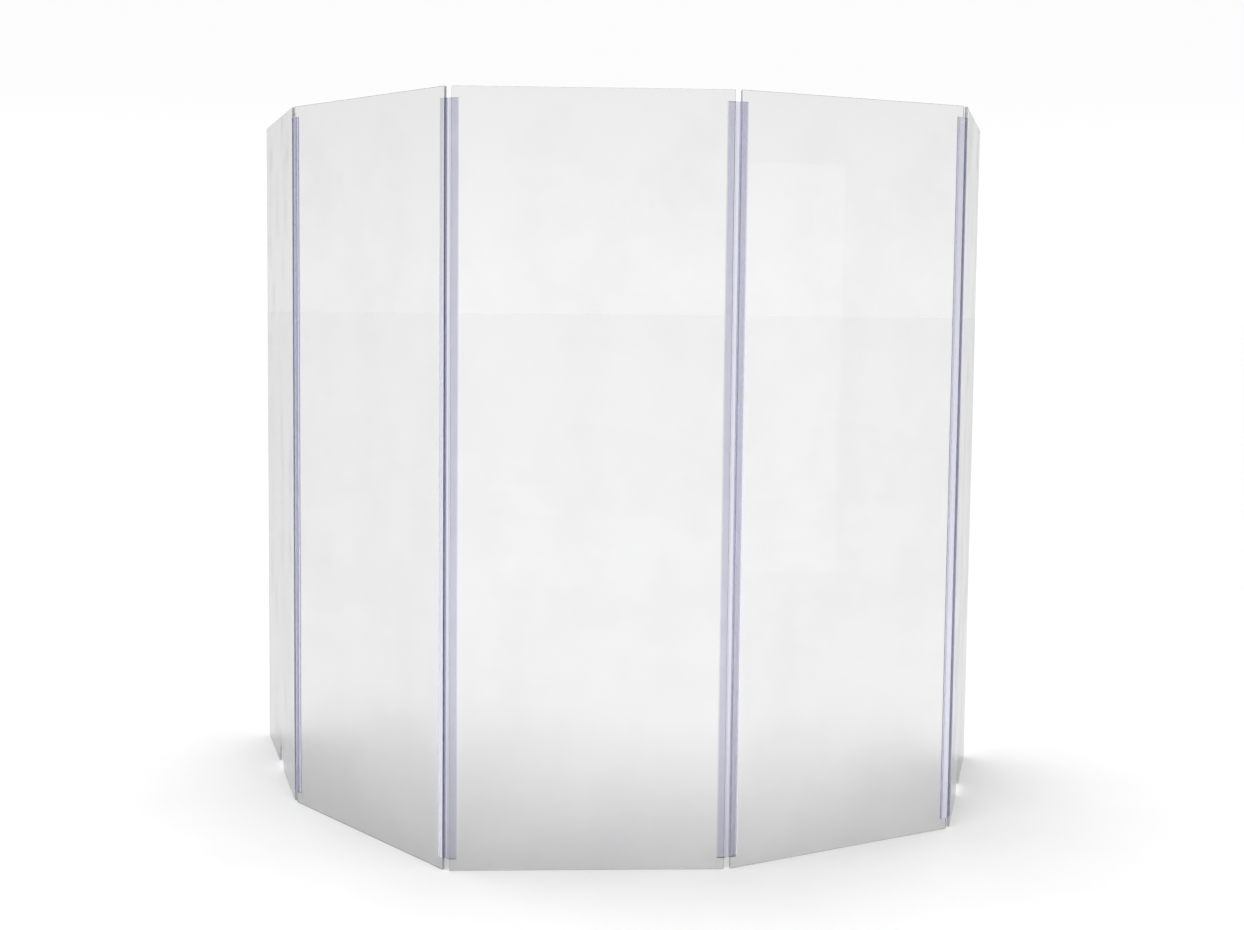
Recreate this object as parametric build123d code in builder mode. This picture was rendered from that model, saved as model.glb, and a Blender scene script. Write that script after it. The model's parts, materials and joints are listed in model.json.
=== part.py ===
"""A free-standing folding screen of five clear acrylic panels.

Each pair of panels is joined by a full-length plastic hinge: a stiff U-channel pushed over each
panel edge, a soft liner that grips the panel inside each channel, and a flexible web between the
two channels. The web has a round bead along both edges, and each bead turns in a shallow cradle
in a channel's nose, so a hinge folds flat either way.

Frame: +Z up, +X to the right, and the audience stands towards -Y. The origin is the middle of the
centre panel's bottom edge. The side panels fold back towards +Y. The screen stands half open.
"""

import os
from math import cos, radians, sin

from build123d import *

# Panels
panel_height = 1676.4
panel_width = 596.0
panel_thickness = 6.0
panel_corner_radius = 3.0
panel_edge_chamfer = 0.5

# Half-round cable notch in the middle of the bottom edge of both outer panels
notch_radius = 50.8

# Hinge strips
hinge_setback = 25.4  # bare panel left above and below a hinge
grip_depth = 14.0  # reach of a channel over the panel
leg_thickness = 1.0
nose_thickness = 1.1
nose_corner_radius = 0.8
leg_tip_radius = 0.4
liner_thickness = 0.3
lip_length = 2.5  # soft lip that closes the channel's mouth
lip_root_height = 0.9
lip_tip_height = 0.2
web_thickness = 1.2
bead_radius = 1.1

# Clearances
bead_clearance = 0.05  # a bead in its cradle
web_clearance = 0.3  # a web folded down beside a channel's nose
fold_clearance = 0.6  # two channels folded flat beside each other

# How far each hinge is folded towards +Y as the screen stands, in degrees
fold_angles = {
    "inner_left": 51.0,
    "outer_left": 24.5,
    "inner_right": 25.0,
    "outer_right": 46.5,
}

# Sizes that follow from the ones above
hinge_length = panel_height - 2 * hinge_setback
slot_width = panel_thickness + 2 * liner_thickness
channel_width = slot_width + 2 * leg_thickness
bead_spacing = channel_width + fold_clearance
bead_standoff = web_thickness / 2 + web_clearance
nose_offset = liner_thickness + nose_thickness
bead_offset = nose_offset + bead_standoff  # panel edge to bead axis


def heading(side, angle):
    """The level direction away from the centre panel: side is -1 to the left, 1 to the right."""
    return Vector(side * cos(radians(angle)), sin(radians(angle)), 0)


def plan_at(point, direction):
    """A level sketch plane at the foot of the hinges, with its X along a direction."""
    return Plane(origin=point + Vector(0, 0, hinge_setback), x_dir=direction, z_dir=(0, 0, 1))


def save(piece, label):
    """Name a finished piece and write its STEP file."""
    piece.part.label = label
    export_step(piece.part, f"parts/{label}.step")


def make_panel(label, edge, direction, notched):
    """A polished acrylic sheet that stands on the floor, from its near edge along a direction."""
    upright = Plane(origin=edge, x_dir=direction, z_dir=direction.cross(Vector(0, 0, 1)))
    with BuildPart() as panel:
        with BuildSketch(upright):
            with Locations((panel_width / 2, panel_height / 2)):
                RectangleRounded(panel_width, panel_height, panel_corner_radius)
            if notched:
                with Locations((panel_width / 2, 0)):
                    Circle(notch_radius, mode=Mode.SUBTRACT)
        extrude(amount=panel_thickness / 2, both=True)
        sheet_faces = panel.faces().sort_by(SortBy.AREA)[-2:]
        chamfer(sheet_faces.edges(), length=panel_edge_chamfer)
    save(panel, label)


def make_channel(label, edge, inward):
    """A stiff U-channel over a panel's upright edge, with a bead cradle along its nose."""
    with BuildPart() as channel:
        with BuildSketch(plan_at(edge, inward)) as profile:
            with Locations((-nose_offset, 0)):
                Rectangle(nose_offset + grip_depth, channel_width, align=(Align.MIN, Align.CENTER))
            fillet(profile.vertices().group_by(Axis.X)[0], radius=nose_corner_radius)
            with Locations((-liner_thickness, 0)):
                Rectangle(
                    liner_thickness + grip_depth,
                    slot_width,
                    align=(Align.MIN, Align.CENTER),
                    mode=Mode.SUBTRACT,
                )
            fillet(profile.vertices().group_by(Axis.X)[-1], radius=leg_tip_radius)
            with Locations((-bead_offset, 0)):
                Circle(bead_radius + bead_clearance, mode=Mode.SUBTRACT)
        extrude(amount=hinge_length)
    save(channel, label)


def make_liner(label, edge, inward):
    """A soft sleeve between a channel and its panel, with a wiper lip at each side of the mouth."""
    sheet_side = panel_thickness / 2
    slot_side = slot_width / 2
    lip_end = grip_depth + lip_length
    with BuildPart() as liner:
        with BuildSketch(plan_at(edge, inward)):
            with BuildLine() as outline:
                Polyline(
                    (-liner_thickness, 0),
                    (-liner_thickness, slot_side),
                    (grip_depth, slot_side),
                    (grip_depth, sheet_side + lip_root_height),
                    (lip_end, sheet_side + lip_tip_height),
                    (lip_end, sheet_side),
                    (0, sheet_side),
                    (0, 0),
                )
                mirror(about=Plane.XZ)
            make_face()
        extrude(amount=hinge_length)
    save(liner, label)


def make_web(label, first_bead, direction):
    """A flexible strip with a round bead along each edge, from one bead axis to the other."""
    with BuildPart() as web:
        with BuildSketch(plan_at(first_bead, direction)):
            Rectangle(bead_spacing, web_thickness, align=(Align.MIN, Align.CENTER))
            with Locations((0, 0), (bead_spacing, 0)):
                Circle(bead_radius)
        extrude(amount=hinge_length)
    save(web, label)


def make_hinge(name, edge, before, across, after):
    """One whole hinge on a panel's far edge. Returns the next panel's near edge.

    The three directions are those of the panel before, of the web and of the panel after.
    """
    first_bead = edge + before * bead_offset
    second_bead = first_bead + across * bead_spacing
    next_edge = second_bead + after * bead_offset
    make_channel(f"{name}_hinge_near_channel", edge, -before)
    make_liner(f"{name}_hinge_near_liner", edge, -before)
    make_web(f"{name}_hinge_web", first_bead, across)
    make_channel(f"{name}_hinge_far_channel", next_edge, after)
    make_liner(f"{name}_hinge_far_liner", next_edge, after)
    return next_edge


def make_wing(side_name, side):
    """Two hinges and two panels, outwards from one side edge of the centre panel."""
    edge = heading(side, 0) * (panel_width / 2)
    turned = 0
    for place in ("inner", "outer"):
        name = f"{place}_{side_name}"
        fold = fold_angles[name]
        before = heading(side, turned)
        across = heading(side, turned + fold / 2)
        after = heading(side, turned + fold)
        near_edge = make_hinge(name, edge, before, across, after)
        make_panel(f"{name}_panel", near_edge, after, notched=place == "outer")
        edge = near_edge + after * panel_width
        turned += fold
        print(f"{name}: far edge at x {edge.X:.1f}, y {edge.Y:.1f}, turned {turned:.1f} degrees")


os.makedirs("parts", exist_ok=True)
make_panel("centre_panel", Vector(-panel_width / 2, 0, 0), heading(1, 0), notched=False)
make_wing("left", -1)
make_wing("right", 1)
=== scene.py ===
# %% [markdown]
# # A folding screen of five clear acrylic panels
#
# This screen stands on its own in a zigzag. Each pair of panels is joined by a full-length hinge:
# a stiff clear U-channel is pushed over each panel edge, a soft liner in the channel grips the
# sheet, and a flexible web with a round bead along both edges joins the two channels. The CAD model
# holds the true sizes and the bend axes, so this script starts from it and never moves it.

import json
import math

import bmesh
import bpy
from mathutils import Matrix, Vector


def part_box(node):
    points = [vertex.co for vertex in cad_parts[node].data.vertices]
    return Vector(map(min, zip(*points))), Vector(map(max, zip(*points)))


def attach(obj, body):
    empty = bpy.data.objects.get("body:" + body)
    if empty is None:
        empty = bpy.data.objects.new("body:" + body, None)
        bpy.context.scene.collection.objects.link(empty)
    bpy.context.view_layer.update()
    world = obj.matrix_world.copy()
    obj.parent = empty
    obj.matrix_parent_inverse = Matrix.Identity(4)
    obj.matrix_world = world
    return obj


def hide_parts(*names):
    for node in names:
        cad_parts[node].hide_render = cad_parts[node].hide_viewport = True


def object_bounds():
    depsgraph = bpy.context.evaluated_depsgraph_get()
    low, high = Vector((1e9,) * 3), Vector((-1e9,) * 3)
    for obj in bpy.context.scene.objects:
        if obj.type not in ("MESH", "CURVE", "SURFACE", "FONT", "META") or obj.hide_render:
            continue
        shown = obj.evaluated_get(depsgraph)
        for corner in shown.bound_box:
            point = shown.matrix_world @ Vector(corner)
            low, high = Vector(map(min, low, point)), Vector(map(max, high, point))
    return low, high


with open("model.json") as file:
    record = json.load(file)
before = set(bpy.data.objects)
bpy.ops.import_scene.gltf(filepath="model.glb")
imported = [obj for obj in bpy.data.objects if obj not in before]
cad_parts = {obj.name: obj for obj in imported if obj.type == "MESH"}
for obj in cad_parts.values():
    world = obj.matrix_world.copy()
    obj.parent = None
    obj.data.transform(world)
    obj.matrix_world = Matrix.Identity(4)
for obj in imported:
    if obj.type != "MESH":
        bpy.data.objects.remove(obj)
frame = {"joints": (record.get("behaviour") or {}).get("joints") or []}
cad_low, cad_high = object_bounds()
print("CAD box in metres:", [round(high - low, 4) for low, high in zip(cad_low, cad_high)])

# %% [markdown]
# ## Where everything stands
#
# Real sizes are easier to read in millimetres, and Blender works in metres, so one constant turns
# one into the other. The screen is read from the frame: the centre panel's box gives the size of
# every sheet, and each hinge has two bend axes, one in each bead. The web lies between them, and it
# makes the same angle with the panel before it as with the panel after it. That is enough to find
# the heading of each panel by reflecting one heading in the next.

# %% Sizes of the sheets and of the hinge
mm = 0.001
sheet_low, sheet_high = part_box("centre_panel")
sheet_width = sheet_high.x - sheet_low.x
sheet_height = sheet_high.z - sheet_low.z
sheet_thickness = sheet_high.y - sheet_low.y
hinge_low, hinge_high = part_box("inner_left_hinge_web")
hinge_foot = hinge_low.z
hinge_length = hinge_high.z - hinge_low.z
print("sheet:", [round(size / mm, 1) for size in (sheet_width, sheet_height, sheet_thickness)])
print("hinge length:", round(hinge_length / mm, 1), "mm")

# %% Bend axes and headings
bend_axis = {joint["name"]: Vector(joint["pos_m"]) for joint in frame["joints"]}
for position in bend_axis.values():
    position.z = 0
bead_offset = 2.3 * mm  # from a sheet's edge to the bead that turns beside it


def reflect_heading(before, across):
    """The heading after a hinge, from the heading before it and the heading of its web."""
    return 2 * before.dot(across) * across - before


hinges = {}
sheets = {"centre_panel": (Vector((sheet_low.x, 0, 0)), Vector((1, 0, 0)), "centre")}
for side, outwards in (("left", -1), ("right", 1)):
    before = Vector((outwards, 0, 0))
    parent = "centre"
    for place in ("inner", "outer"):
        name = f"{place}_{side}"
        near_bead = bend_axis[f"{name}_near_fold"]
        far_bead = bend_axis[f"{name}_far_fold"]
        across = (far_bead - near_bead).normalized()
        after = reflect_heading(before, across)
        edge_before = near_bead - before * bead_offset
        edge_after = far_bead + after * bead_offset
        hinges[name] = (parent, edge_before, before, near_bead, across, edge_after, after)
        sheets[f"{name}_panel"] = (edge_after, after, name)
        print(name, "turned", round(math.degrees(before.angle(after)), 1), "degrees")
        parent = name
        before = after

# %% [markdown]
# ## Drawing a section and pulling it upwards
#
# Channels, liners and webs are extrusions: hot plastic is pushed through a die, so one section runs
# the whole length, and then a saw cuts it square. The same idea makes the mesh. A closed outline is
# drawn in plan, in millimetres, and copied to the foot and the head, with a tiny chamfer at both
# cut ends, because a cut end that has been wiped with a blade is never perfectly sharp. The rounded
# corners are made from short arcs, fine enough to stay round in a close view.


# %% Outline helpers
tiny = 1e-6  # millimetres: closer together than this counts as the same place
sharpest_lean = 0.5  # keeps an inset corner from shooting inwards where the outline is very sharp


def arc(centre, radius, start, end, steps=8):
    """Points along an arc in the plan, in millimetres, from one angle to another in degrees."""
    points = []
    for step in range(steps + 1):
        angle = math.radians(start + (end - start) * step / steps)
        points.append((centre[0] + radius * math.cos(angle), centre[1] + radius * math.sin(angle)))
    return points


def mirrored(half):
    """A closed outline from its upper half, drawn from the left end to the right end."""
    lower = [(x, -y) for x, y in reversed(half) if y > tiny]
    return half + lower


def inset(outline, amount):
    """The outline moved inwards by an amount, corner by corner. The outline runs clockwise."""
    moved = []
    for index, point in enumerate(outline):
        here = Vector(point)
        back = (here - Vector(outline[index - 1])).normalized()
        ahead = (Vector(outline[(index + 1) % len(outline)]) - here).normalized()
        back_normal = Vector((back.y, -back.x))
        ahead_normal = Vector((ahead.y, -ahead.x))
        middle = back_normal + ahead_normal
        if middle.length < tiny:
            middle = back_normal
        middle.normalize()
        reach = amount / max(middle.dot(back_normal), sharpest_lean)
        moved.append(tuple(here + middle * reach))
    return moved


def standing(foot, direction, height=0.0):
    """A place in the frame: X along the direction, Z upwards, at a foot point."""
    turn = Matrix.Rotation(math.atan2(direction.y, direction.x), 4, "Z")
    return Matrix.Translation(foot + Vector((0, 0, height))) @ turn


# %% Pull an outline into a bar
smooth_limit = math.radians(32)  # walls that meet at less than this are shaded as one curve
cut_chamfer = 0.08
sawn_slot = 1


def layered_mesh(name, layers):
    """A closed mesh from matching loops of points: a lid on the first and last, walls between."""
    model = bmesh.new()
    rings = [[model.verts.new(point) for point in layer] for layer in layers]
    for lower, upper in zip(rings, rings[1:]):
        for index in range(len(lower)):
            following = (index + 1) % len(lower)
            model.faces.new((lower[index], lower[following], upper[following], upper[index]))
    model.faces.new(list(reversed(rings[0])))
    model.faces.new(rings[-1])
    bmesh.ops.recalc_face_normals(model, faces=model.faces)
    mesh = bpy.data.meshes.new(name)
    model.to_mesh(mesh)
    model.free()
    mesh.shade_smooth()
    mesh.set_sharp_from_angle(angle=smooth_limit)
    piece = bpy.data.objects.new(name, mesh)
    bpy.context.scene.collection.objects.link(piece)
    return piece


def extrusion(name, outline, place):
    """A section in millimetres pulled to the hinge's length, with its cut ends just broken."""
    shrunk = inset(outline, cut_chamfer)
    layers = []
    for ring, height in (
        (shrunk, 0),
        (outline, cut_chamfer * mm),
        (outline, hinge_length - cut_chamfer * mm),
        (shrunk, hinge_length),
    ):
        layers.append([(x * mm, y * mm, height) for x, y in ring])
    piece = layered_mesh(name, layers)
    for face in piece.data.polygons:
        faces_up_or_down = abs(face.normal.z) > 0.5
        if faces_up_or_down:
            face.material_index = sawn_slot
    piece.matrix_world = place
    return piece


# %% [markdown]
# ## The five sheets
#
# A sheet is cast acrylic, 6 mm thick, cut to size, with its corners eased, its edges bevelled by
# half a millimetre and polished. Light that enters the face is trapped between the two faces and
# comes out at the edge, so the edge is what shows a clear sheet at all. A plain box would have no
# bevel to catch that light. The outer sheets have a half-round notch in the bottom edge that lets
# cables through. Each sheet is drawn as an outline, then four loops are stacked through the
# thickness: bevel, face, face, bevel. The edge gets a second material slot of its own.


# %% Draw a sheet
corner_radius = 3.0
bevel = 0.5
notch_radius = 50.8
broad_face = 0.1  # square metres: only a sheet's two faces are larger than this
edge_slot = 1


def sheet_outline(notched):
    """The outline of a sheet, clockwise from the bottom left, in millimetres."""
    width = sheet_width / mm
    height = sheet_height / mm
    left = corner_radius
    right = width - corner_radius
    top = height - corner_radius
    outline = arc((left, corner_radius), corner_radius, 270, 180)
    outline += arc((left, top), corner_radius, 180, 90)
    outline += arc((right, top), corner_radius, 90, 0)
    outline += arc((right, corner_radius), corner_radius, 0, -90)
    if notched:
        outline += arc((width / 2, 0), notch_radius, 0, 180, steps=72)
    return outline


def make_sheet(name, edge, direction, body):
    """One sheet as a bevelled slab that stands on the floor, from its near edge outwards."""
    outline = sheet_outline(notched=name.startswith("outer"))
    shrunk = inset(outline, bevel)
    half = sheet_thickness / 2
    layers = []
    for ring, depth in (
        (shrunk, -half),
        (outline, bevel * mm - half),
        (outline, half - bevel * mm),
        (shrunk, half),
    ):
        layers.append([(x * mm, depth, z * mm) for x, z in ring])
    sheet = layered_mesh(f"{name}_sheet", layers)
    for face in sheet.data.polygons:
        if face.area < broad_face:
            face.material_index = edge_slot
    sheet.matrix_world = standing(edge, direction)
    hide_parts(name)
    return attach(sheet, body)


sheet_pieces = [make_sheet(name, *facts) for name, facts in sheets.items()]
print("sheets:", [(piece.name, len(piece.data.polygons)) for piece in sheet_pieces])

# %% [markdown]
# ## The U-channels
#
# Each panel edge wears a channel of stiff clear vinyl. Its two legs reach 14 mm over the sheet, and
# its nose has a shallow round groove, the cradle in which the web's bead turns. The section follows
# the real one: rounded leg tips, softened nose corners and a groove that is a true arc.

# %% Section of a channel
grip_depth = 14.0
leg_outside = 4.3
leg_inside = 3.3
nose = -1.4
slot_floor = -0.3
bead_radius = 1.1
cradle_radius = 1.15
nose_corner = 0.8
tip_corner = 0.4
inside_corner = 0.2

cradle_half = math.degrees(math.acos((bead_offset / mm + nose) / cradle_radius))
cradle = arc((-bead_offset / mm, 0), cradle_radius, 0, cradle_half, steps=6)
channel_outline = [
    *cradle,
    *arc((nose + nose_corner, leg_outside - nose_corner), nose_corner, 180, 90),
    *arc((grip_depth - tip_corner, leg_outside - tip_corner), tip_corner, 90, 0),
    *arc((grip_depth - tip_corner, leg_inside + tip_corner), tip_corner, 0, -90),
    *arc((slot_floor + inside_corner, leg_inside - inside_corner), inside_corner, 90, 180, steps=4),
]
channel_outline = channel_outline + [(x, -y) for x, y in reversed(channel_outline[1:])]
print("channel section:", len(channel_outline), "points, cradle", round(cradle_half, 1), "degrees")

# %% [markdown]
# ## The liners
#
# The liner is the soft part of the same extrusion. It fills the narrow space between the sheet and
# the stiff legs, and it ends in two lips that wipe the sheet and keep the channel from sliding. The
# lips thin out to a rounded tip in a gentle hollow curve. A hair of air is left on both sides,
# because two soft-looking but separate surfaces are never optically joined, and because glass
# rendering goes wrong where two surfaces share one plane.

# %% Section of a liner
air = 0.02
lip_length = 2.5
lip_root = 0.9
lip_tip = 0.2
lip_hollow = 1.7  # 1 would be a straight back, and more makes it hollower
lip_reach = lip_length * 0.96  # the rounded tip makes up the rest
lip_start = grip_depth + air
lip_end = lip_start + lip_reach
sheet_side = sheet_thickness / mm / 2
liner_outside = leg_inside - air
liner_inside = sheet_side + air


def lip_curve(steps=8):
    """The hollow back of a lip, from its thick root to its thin tip."""
    points = []
    for step in range(steps + 1):
        along = step / steps
        height = lip_tip + (lip_root - lip_tip) * (1 - along) ** lip_hollow
        points.append((lip_start + lip_reach * along, sheet_side + height))
    return points


liner_outline = [
    (slot_floor + air, 0),
    *arc((slot_floor + air + inside_corner, liner_outside - inside_corner), inside_corner, 180, 90, 4),
    (lip_start, liner_outside),
    *lip_curve(),
    *arc((lip_end, liner_inside + lip_tip / 2), lip_tip / 2, 60, -90, steps=5),
    (-air, liner_inside),
    (-air, 0),
]
liner_outline = liner_outline + [(x, -y) for x, y in reversed(liner_outline[1:-1])]
print("liner section:", len(liner_outline), "points")

# %% [markdown]
# ## The webs
#
# The web is the part that bends: 1.2 mm of flexible vinyl with a round bead along both edges. A
# bead that met the flat strip at a sharp corner would tear there, so the die has a small radius at
# each side, and the section below has it too.

# %% Section of a web
bead_spacing = (hinges["inner_left"][3] - bend_axis["inner_left_far_fold"]).length / mm
web_half = 0.6
neck_radius = 0.5
neck_height = web_half + neck_radius
neck_reach = math.sqrt((bead_radius + neck_radius) ** 2 - neck_height**2)
neck_angle = math.degrees(math.atan2(neck_height, neck_reach))
web_half_outline = [
    *arc((0, 0), bead_radius, 180, neck_angle, steps=18),
    *arc((neck_reach, neck_height), neck_radius, 180 + neck_angle, 270, steps=5)[1:],
    *arc((bead_spacing - neck_reach, neck_height), neck_radius, 270, 360 - neck_angle, steps=5),
    *arc((bead_spacing, 0), bead_radius, 180 - neck_angle, 0, steps=18)[1:],
]
web_outline = mirrored(web_half_outline)
print("web section:", len(web_outline), "points, beads", round(bead_spacing, 2), "mm apart")

# %% [markdown]
# ## Putting a hinge together
#
# Each hinge is the same set of five strips: a channel and a liner on the panel before it, the web,
# and a channel and a liner on the panel after it. A strip rides on the body that carries it, so the
# web can turn in both cradles. Every strip stands for one CAD node.


# %% Build the four hinges
def make_hinge(name, parent, edge_before, before, near_bead, across, edge_after, after):
    """Two channels, two liners and a web, each riding on its own body."""
    parts = (
        ("near_channel", channel_outline, edge_before, -before, parent, "clear_rigid_vinyl"),
        ("near_liner", liner_outline, edge_before, -before, parent, "soft_clear_vinyl"),
        ("web", web_outline, near_bead, across, f"{name}_web", "flexible_clear_vinyl"),
        ("far_channel", channel_outline, edge_after, after, name, "clear_rigid_vinyl"),
        ("far_liner", liner_outline, edge_after, after, name, "soft_clear_vinyl"),
    )
    made = []
    for part, outline, foot, direction, body, finish in parts:
        place = standing(foot, direction, hinge_foot)
        piece = extrusion(f"{name}_{part}_strip", outline, place)
        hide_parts(f"{name}_hinge_{part}")
        made.append(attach(piece, body))
    return made


hinge_pieces = []
for name, facts in hinges.items():
    hinge_pieces += make_hinge(name, *facts)
print("hinge pieces:", len(hinge_pieces))

# %% [markdown]
# ## Materials: two helpers
#
# Colours are written as the hex values that a colour chart gives, and one function turns them to
# the linear values that Blender mixes. One small function adds a node with its settings and links.


# %% Colour and node helpers
def linear(hex_colour):
    """A linear colour with alpha from an sRGB hex value such as "#F4F5F6"."""
    channels = [int(hex_colour[start : start + 2], 16) / 255 for start in (1, 3, 5)]
    values = []
    for channel in channels:
        low = channel / 12.92
        high = ((channel + 0.055) / 1.055) ** 2.4
        values.append(low if channel <= 0.04045 else high)
    return (*values, 1.0)


def add_node(tree, kind, inputs=None, **settings):
    """Adds a node to a tree. Inputs may be values or the sockets that feed them."""
    made = tree.nodes.new(kind)
    for setting, value in settings.items():
        setattr(made, setting, value)
    for socket_name, value in (inputs or {}).items():
        socket = made.inputs[socket_name]
        if isinstance(value, bpy.types.NodeSocket):
            tree.links.new(value, socket)
        else:
            socket.default_value = value
    return made


def new_material(name):
    """An empty node material, and its tree."""
    material = bpy.data.materials.new(name)
    material.use_nodes = True
    material.node_tree.nodes.clear()
    return material, material.node_tree


# %% [markdown]
# ## Cast acrylic sheet
#
# The sheet is cast acrylic, also called PMMA: poured between two plates of glass, so its faces are
# glossy and almost flat, with a slow swell of a fraction of a millimetre over a hand's breadth. Its
# IOR is 1.49. It takes a little light away, so it is a touch below white. Handling leaves wiping
# marks that soften the gloss, and hairline scratches. A real hairline is about 0.02 mm wide, too
# fine to show, so here the streaks are drawn about 1 mm wide and very faint.
#
# Fine dust lies on both faces. Seen straight on it hardly shows, and at a shallow angle the light
# goes a longer way through it, so the sheet greys. The shader's coat does the same: its IOR is almost
# that of air, so it adds no gloss, and its light grey tint takes more light the longer the way is.
# The coat is partly dust and partly painted shade: the grey it gives sheets seen at a slant stands in
# for the shade that those sheets would mirror.

# %% Acrylic face
acrylic_tint = linear("#FEFEFE")
acrylic_film = linear("#FAF9FA")
acrylic_ior = 1.49
dust_and_shade_coat_ior = 1.03
# painted shade and dust: this grey coat tint darkens the sheets seen at a slant, in place of mirrored
# shade
sheet_dust_and_painted_shade = linear("#F8F8F8")
swell_size = 180 * mm
swell_depth = 0.3 * mm
film_size = 220 * mm
film_begins, film_full = 0.42, 0.68
film_roughness = 0.018
streak_width = 1.1 * mm
streak_length = 260 * mm
streak_angle = math.radians(24)
streak_begins, streak_full = 0.66, 0.78
streak_roughness = 0.05

face_material, tree = new_material("cast_acrylic_face")
where = add_node(tree, "ShaderNodeTexCoord").outputs["Object"]
film = add_node(
    tree,
    "ShaderNodeTexNoise",
    {"Vector": where, "Scale": 1 / film_size, "Detail": 5.0, "Roughness": 0.6},
)
film_amount = add_node(
    tree,
    "ShaderNodeMapRange",
    {"Value": film.outputs["Fac"], "From Min": film_begins, "From Max": film_full},
)
turned = add_node(
    tree,
    "ShaderNodeMapping",
    {
        "Vector": where,
        "Rotation": (0, streak_angle, 0),
        "Scale": (1 / streak_length, 1, 1 / streak_width),
    },
)
streaks = add_node(
    tree,
    "ShaderNodeTexNoise",
    {"Vector": turned.outputs["Vector"], "Scale": 1.0, "Detail": 2.0},
)
streak_amount = add_node(
    tree,
    "ShaderNodeMapRange",
    {
        "Value": streaks.outputs["Fac"],
        "From Min": streak_begins,
        "From Max": streak_full,
        "To Max": streak_roughness,
    },
)
roughness = add_node(
    tree,
    "ShaderNodeMath",
    {0: film_amount.outputs["Result"], 1: film_roughness, 2: streak_amount.outputs["Result"]},
    operation="MULTIPLY_ADD",
)
colour = add_node(
    tree,
    "ShaderNodeMix",
    {"Factor": film_amount.outputs["Result"], 6: acrylic_tint, 7: acrylic_film},
    data_type="RGBA",
)
swell = add_node(
    tree,
    "ShaderNodeTexNoise",
    {"Vector": where, "Scale": 1 / swell_size, "Detail": 1.0},
)
swell_bump = add_node(
    tree,
    "ShaderNodeBump",
    {"Strength": 1.0, "Distance": swell_depth, "Height": swell.outputs["Fac"]},
)
shader = add_node(
    tree,
    "ShaderNodeBsdfPrincipled",
    {
        "Base Color": colour.outputs[2],
        "Roughness": roughness.outputs["Value"],
        "Normal": swell_bump.outputs["Normal"],
        "IOR": acrylic_ior,
        "Transmission Weight": 1.0,
        # the coat is a dust film and painted shade: it greys the sheets more the shallower the view
        "Coat Weight": 1.0,
        "Coat IOR": dust_and_shade_coat_ior,
        "Coat Roughness": 0.25,
        "Coat Tint": sheet_dust_and_painted_shade,
    },
)
add_node(tree, "ShaderNodeOutputMaterial", {"Surface": shader.outputs["BSDF"]})
print("acrylic face: swell every", round(swell_size / mm), "mm, streaks", streak_width / mm, "mm")

# %% [markdown]
# ## The polished edge of the sheet
#
# The edge was cut with a router and polished with a buffing wheel. The cutter leaves ripples across
# the thickness every few millimetres, and the buff rounds them without removing them. Between them
# the edge stays slightly hazy, so part of the light is scattered here instead of passing. Drawn fully
# clear, the edge came out almost black in this model, and the haze is there to lighten it.

# %% Acrylic edge
ripple_pitch = 4.0 * mm
ripple_depth = 0.015 * mm
ripple_stretch = 0.05  # along the thickness, so that the ripples run across it
edge_clarity = 0.6

edge_material, tree = new_material("buffed_acrylic_edge")
where = add_node(tree, "ShaderNodeTexCoord").outputs["Object"]
stretched = add_node(
    tree,
    "ShaderNodeMapping",
    {"Vector": where, "Scale": (1 / ripple_pitch, ripple_stretch / ripple_pitch, 1 / ripple_pitch)},
)
ripples = add_node(
    tree,
    "ShaderNodeTexNoise",
    {"Vector": stretched.outputs["Vector"], "Scale": 1.0, "Detail": 3.0},
)
ripple_bump = add_node(
    tree,
    "ShaderNodeBump",
    {"Strength": 1.0, "Distance": ripple_depth, "Height": ripples.outputs["Fac"]},
)
edge_roughness = add_node(
    tree,
    "ShaderNodeMapRange",
    {"Value": ripples.outputs["Fac"], "To Min": 0.12, "To Max": 0.3},
)
edge_colour = add_node(
    tree,
    "ShaderNodeMix",
    {"Factor": ripples.outputs["Fac"], 6: linear("#F6F6F9"), 7: linear("#DFE0E8")},
    data_type="RGBA",
)
shader = add_node(
    tree,
    "ShaderNodeBsdfPrincipled",
    {
        "Base Color": edge_colour.outputs[2],
        "Roughness": edge_roughness.outputs["Result"],
        "Normal": ripple_bump.outputs["Normal"],
        "IOR": acrylic_ior,
        "Transmission Weight": edge_clarity,
    },
)
add_node(tree, "ShaderNodeOutputMaterial", {"Surface": shader.outputs["BSDF"]})

for sheet in sheet_pieces:
    sheet.data.materials.append(face_material)
    sheet.data.materials.append(edge_material)
print("acrylic edge: ripples every", ripple_pitch / mm, "mm")

# %% [markdown]
# ## Extruded clear vinyl
#
# Channels, liners and webs are PVC: stiff in the channel, softened with plasticiser in the liner and
# the web. Its IOR is about 1.53. Clear PVC is toned with a trace of violet-blue so that it doesn't
# yellow to the eye, and that makes the hinges read as lavender-grey lines. The die leaves faint
# straight lines along the whole length. They are about 0.1 mm apart in the real thing, too fine to
# show, so they are drawn 0.7 mm apart. The softer the vinyl, the less glossy it is. The coat of the
# sheets, partly dust and partly painted shade, is drawn here too, with a lighter tint.

# %% Vinyl finishes
die_line_pitch = 0.7 * mm
die_line_stretch = 0.2  # per metre along the strip: each line runs on for metres
cloud_size = 60 * mm
vinyl_ior = 1.53
# painted shade and dust: this coat tint greys the strips more the shallower the view
vinyl_dust_and_painted_shade = linear("#FBFBFD")


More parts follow.
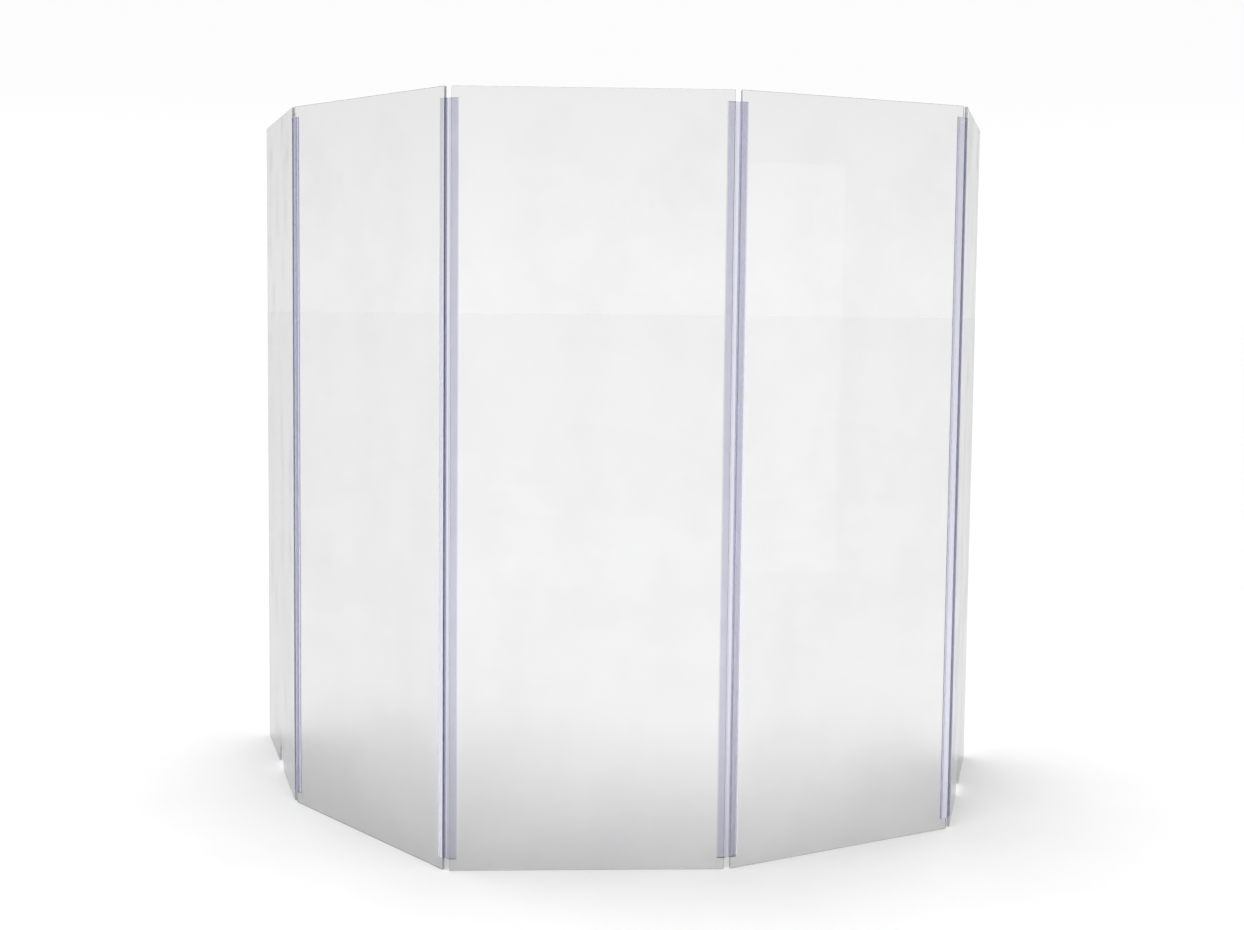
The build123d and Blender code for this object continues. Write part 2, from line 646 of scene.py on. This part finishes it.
def extruded_vinyl(name, clear, cloudy, smoothest, roughest, line_depth):
    """Clear extruded PVC: two close tints, a roughness range and the depth of its die lines."""
    material, tree = new_material(name)
    where = add_node(tree, "ShaderNodeTexCoord").outputs["Object"]
    drawn_out = add_node(
        tree,
        "ShaderNodeMapping",
        {"Vector": where, "Scale": (1 / die_line_pitch, 1 / die_line_pitch, die_line_stretch)},
    )
    die_lines = add_node(
        tree,
        "ShaderNodeTexNoise",
        {"Vector": drawn_out.outputs["Vector"], "Scale": 1.0, "Detail": 2.0},
    )
    clouds = add_node(
        tree,
        "ShaderNodeTexNoise",
        {"Vector": where, "Scale": 1 / cloud_size, "Detail": 4.0},
    )
    tint = add_node(
        tree,
        "ShaderNodeMix",
        {"Factor": clouds.outputs["Fac"], 6: linear(clear), 7: linear(cloudy)},
        data_type="RGBA",
    )
    roughness = add_node(
        tree,
        "ShaderNodeMapRange",
        {"Value": die_lines.outputs["Fac"], "To Min": smoothest, "To Max": roughest},
    )
    line_bump = add_node(
        tree,
        "ShaderNodeBump",
        {"Strength": 1.0, "Distance": line_depth, "Height": die_lines.outputs["Fac"]},
    )
    shader = add_node(
        tree,
        "ShaderNodeBsdfPrincipled",
        {
            "Base Color": tint.outputs[2],
            "Roughness": roughness.outputs["Result"],
            "Normal": line_bump.outputs["Normal"],
            "IOR": vinyl_ior,
            "Transmission Weight": 1.0,
            # the coat is a dust film and painted shade: it greys the strip more at a slant
            "Coat Weight": 1.0,
            "Coat IOR": dust_and_shade_coat_ior,
            "Coat Roughness": 0.3,
            "Coat Tint": vinyl_dust_and_painted_shade,
        },
    )
    add_node(tree, "ShaderNodeOutputMaterial", {"Surface": shader.outputs["BSDF"]})
    return material


vinyl = {
    "channel": extruded_vinyl(
        "rigid_clear_vinyl",
        clear="#FEFEFE",
        cloudy="#FAFAFB",
        smoothest=0.02,
        roughest=0.09,
        line_depth=0.005 * mm,
    ),
    "liner": extruded_vinyl(
        "soft_clear_vinyl",
        clear="#FEFEFE",
        cloudy="#FAFAFB",
        smoothest=0.08,
        roughest=0.2,
        line_depth=0.005 * mm,
    ),
    "web": extruded_vinyl(
        "flexible_clear_vinyl",
        clear="#EAEAF3",
        cloudy="#E4E4EE",
        smoothest=0.05,
        roughest=0.14,
        line_depth=0.006 * mm,
    ),
}
print("vinyl finishes:", sorted(vinyl))

# %% [markdown]
# ## The sawn ends of the strips
#
# The strips are cut to length with a fine saw and not polished, so their ends are frosted: light
# goes in and comes back scattered, and the end reads as pale lavender instead of clear. The teeth
# leave scores about half a millimetre apart, and those are drawn at their real spacing.

# %% Sawn vinyl end
tooth_pitch = 0.5 * mm
score_depth = 0.05 * mm
score_stretch = 0.05  # along the saw's stroke, so that the scores run that way
sawn_clarity = 0.4

end_material, tree = new_material("sawn_vinyl_end")
where = add_node(tree, "ShaderNodeTexCoord").outputs["Object"]
scored = add_node(
    tree,
    "ShaderNodeMapping",
    {"Vector": where, "Scale": (1 / tooth_pitch, score_stretch / tooth_pitch, 1)},
)
scores = add_node(
    tree,
    "ShaderNodeTexNoise",
    {"Vector": scored.outputs["Vector"], "Scale": 1.0, "Detail": 3.0},
)
score_bump = add_node(
    tree,
    "ShaderNodeBump",
    {"Strength": 1.0, "Distance": score_depth, "Height": scores.outputs["Fac"]},
)
score_roughness = add_node(
    tree,
    "ShaderNodeMapRange",
    {"Value": scores.outputs["Fac"], "To Min": 0.4, "To Max": 0.65},
)
score_colour = add_node(
    tree,
    "ShaderNodeMix",
    {"Factor": scores.outputs["Fac"], 6: linear("#EFEFF6"), 7: linear("#D9D9E6")},
    data_type="RGBA",
)
shader = add_node(
    tree,
    "ShaderNodeBsdfPrincipled",
    {
        "Base Color": score_colour.outputs[2],
        "Roughness": score_roughness.outputs["Result"],
        "Normal": score_bump.outputs["Normal"],
        "IOR": vinyl_ior,
        "Transmission Weight": sawn_clarity,
    },
)
add_node(tree, "ShaderNodeOutputMaterial", {"Surface": shader.outputs["BSDF"]})

for piece in hinge_pieces:
    part = next(word for word in vinyl if word in piece.name)
    piece.data.materials.append(vinyl[part])
    piece.data.materials.append(end_material)
print("sawn ends: scores every", tooth_pitch / mm, "mm")

# %% [markdown]
# ## The floor
#
# Clear plastic has no look of its own: it shows what is behind it, bent, and what is in front of it,
# mirrored. A pale floor that runs on for tens of metres has no edge near the screen, and it meets
# the white behind. It lies half a millimetre below the sheets, because glass rendering goes wrong
# where two surfaces share one plane. It is matt, with a faint mottle, like a painted studio floor.

# %% Floor
floor_radius = 60.0
floor_gap = 0.5 * mm
mottles_per_metre = 3.0
floor_mesh = bpy.data.meshes.new("studio_floor")
model = bmesh.new()
bmesh.ops.create_circle(model, cap_ends=True, segments=128, radius=floor_radius)
model.to_mesh(floor_mesh)
model.free()
floor = bpy.data.objects.new("studio_floor", floor_mesh)
floor.location.z = cad_low.z - floor_gap
bpy.context.scene.collection.objects.link(floor)

floor_material, tree = new_material("pale_studio_floor")
where = add_node(tree, "ShaderNodeTexCoord").outputs["Object"]
mottle = add_node(
    tree,
    "ShaderNodeTexNoise",
    {"Vector": where, "Scale": mottles_per_metre, "Detail": 6.0},
)
pale = add_node(
    tree,
    "ShaderNodeMix",
    {"Factor": mottle.outputs["Fac"], 6: linear("#F7F7F7"), 7: linear("#F2F2F3")},
    data_type="RGBA",
)
shader = add_node(
    tree,
    "ShaderNodeBsdfPrincipled",
    {"Base Color": pale.outputs[2], "Roughness": 0.9, "Specular IOR Level": 0.1},
)
add_node(tree, "ShaderNodeOutputMaterial", {"Surface": shader.outputs["BSDF"]})
floor_mesh.materials.append(floor_material)
print("floor:", floor_radius, "m in radius")

# %% [markdown]
# ## The room's light
#
# The side behind the screen is a white sweep, and the side where the camera stands is a dimmer room,
# darkest high up. Each sheet mirrors a little of that dim side, which is what makes it a shade darker
# than the white beside it. The sky is a little brighter at the horizon, to meet the white of the
# floor there. Directions on the sky are unit vectors, so the limits below are parts of 1.

# %% Room
sweep_white = (1.0, 1.0, 1.0, 1.0)
room_low_grey = (0.86, 0.86, 0.86, 1.0)
room_high_grey = (0.45, 0.45, 0.45, 1.0)
sweep_full = 0.75  # how far towards +Y the sweep is at its whitest
room_darkest = 0.45  # how far up the room is at its darkest
horizon_strength = 1.06
overhead_strength = 0.975
horizon_top = 0.12  # how far up the brighter horizon reaches

studio = bpy.data.worlds.new("studio")
studio.use_nodes = True
tree = studio.node_tree
tree.nodes.clear()
heading = add_node(tree, "ShaderNodeTexCoord").outputs["Generated"]
parts = add_node(tree, "ShaderNodeSeparateXYZ", {"Vector": heading})
towards_sweep = add_node(
    tree,
    "ShaderNodeMapRange",
    {"Value": parts.outputs["Y"], "From Min": 0.0, "From Max": sweep_full},
    interpolation_type="SMOOTHSTEP",
)
upwards_in_room = add_node(
    tree,
    "ShaderNodeMapRange",
    {"Value": parts.outputs["Z"], "From Min": 0.0, "From Max": room_darkest},
    interpolation_type="SMOOTHERSTEP",
)
dim_room = add_node(
    tree,
    "ShaderNodeMix",
    {"Factor": upwards_in_room.outputs["Result"], 6: room_low_grey, 7: room_high_grey},
    data_type="RGBA",
)
room = add_node(
    tree,
    "ShaderNodeMix",
    {"Factor": towards_sweep.outputs["Result"], 6: dim_room.outputs[2], 7: sweep_white},
    data_type="RGBA",
)
strength = add_node(
    tree,
    "ShaderNodeMapRange",
    {
        "Value": parts.outputs["Z"],
        "From Min": 0.0,
        "From Max": horizon_top,
        "To Min": horizon_strength,
        "To Max": overhead_strength,
    },
)
background = add_node(
    tree,
    "ShaderNodeBackground",
    {"Color": room.outputs[2], "Strength": strength.outputs["Result"]},
)
add_node(tree, "ShaderNodeOutputWorld", {"Surface": background.outputs["Background"]})
bpy.context.scene.world = studio
print("room strength:", horizon_strength, "at the horizon,", overhead_strength, "overhead")

# %% [markdown]
# ## The lamps
#
# A broad soft sun from almost straight above stands for the ceiling lights, and it is so wide that
# shadows fade out. A large soft box over the floor in front of the screen keeps that floor white. A
# tall, weak one far to the right is there to be mirrored: it leaves a pale upright patch on one
# sheet, and such a patch is what tells the eye that a clear sheet is glossy.

# %% Lamps
ceiling_strength = 1.66
ceiling_width = math.radians(60)
ceiling_tilt = (math.radians(5), math.radians(-7), 0)

ceiling = bpy.data.objects.new("ceiling_light", bpy.data.lights.new("ceiling_light", "SUN"))
ceiling.data.energy = ceiling_strength
ceiling.data.angle = ceiling_width
ceiling.rotation_euler = ceiling_tilt
bpy.context.scene.collection.objects.link(ceiling)


def soft_box(name, place, towards, width, height, power):
    """A rectangular soft light that lights and mirrors, but isn't itself seen by the camera."""
    lamp = bpy.data.objects.new(name, bpy.data.lights.new(name, "AREA"))
    lamp.data.shape = "RECTANGLE"
    lamp.data.size = width
    lamp.data.size_y = height
    lamp.data.energy = power
    lamp.location = place
    lamp.rotation_mode = "QUATERNION"
    lamp.rotation_quaternion = Vector(towards).to_track_quat("-Z", "Y")
    lamp.visible_camera = False
    bpy.context.scene.collection.objects.link(lamp)


soft_box(
    "front_light",
    place=(0, -2.6, 3.2),
    towards=(0, 0, -1),
    width=4.5,
    height=2.0,
    power=42,
)
soft_box(
    "side_light",
    place=(3.3, -1.88, 0.9),
    towards=(-0.86, 0.51, 0),
    width=0.85,
    height=1.75,
    power=1.4,
)
print("lights:", [item.name for item in bpy.data.lights])

# %% [markdown]
# ## Light paths
#
# A ray that crosses a hinge goes through ten or more surfaces of clear plastic, and twice that when
# two hinges stand in line. With the usual limit the path would end inside the plastic and leave a
# black spot, so the limits are raised. White is kept as white: the standard view transform shows the
# floor as it is lit.

# %% Light paths and view
surfaces_crossed = 40
scene = bpy.context.scene
scene.cycles.max_bounces = surfaces_crossed
scene.cycles.transmission_bounces = surfaces_crossed
scene.cycles.glossy_bounces = 12
scene.cycles.transparent_max_bounces = 16
scene.view_settings.view_transform = "Standard"
scene.view_settings.look = "None"
print("surfaces a ray may cross:", surfaces_crossed)

# %% [markdown]
# ## Camera
#
# The camera stands a little left of the middle, three and a half metres in front of the centre
# panel, at chest height, and looks slightly down. The shift frames the screen without tilting the
# camera further, so its upright edges stay nearly upright.

# %% Camera
eye = Vector((-0.1494, -3.4394, 1.2714))
sensor_width = 36.0
focal_length = 47.08
shift = (0.0261, -0.0522)
yaw = math.radians(2.431)
pitch = math.radians(4.173)
roll = math.radians(0.524)
rightwards = Vector((math.cos(yaw), -math.sin(yaw), 0))
forwards = Vector(
    (math.sin(yaw) * math.cos(pitch), math.cos(yaw) * math.cos(pitch), -math.sin(pitch))
)
upwards = rightwards.cross(forwards)
camera_x = math.cos(roll) * rightwards + math.sin(roll) * upwards
camera_y = -math.sin(roll) * rightwards + math.cos(roll) * upwards
camera_axes = Matrix((camera_x, camera_y, -forwards)).transposed()

camera = bpy.data.objects.new("camera", bpy.data.cameras.new("camera"))
camera.matrix_world = Matrix.LocRotScale(eye, camera_axes.to_quaternion(), None)
camera.data.sensor_width = sensor_width
camera.data.lens = focal_length
camera.data.shift_x, camera.data.shift_y = shift
bpy.context.scene.collection.objects.link(camera)
bpy.context.scene.camera = camera
print("camera height:", round(eye.z, 3), "m")
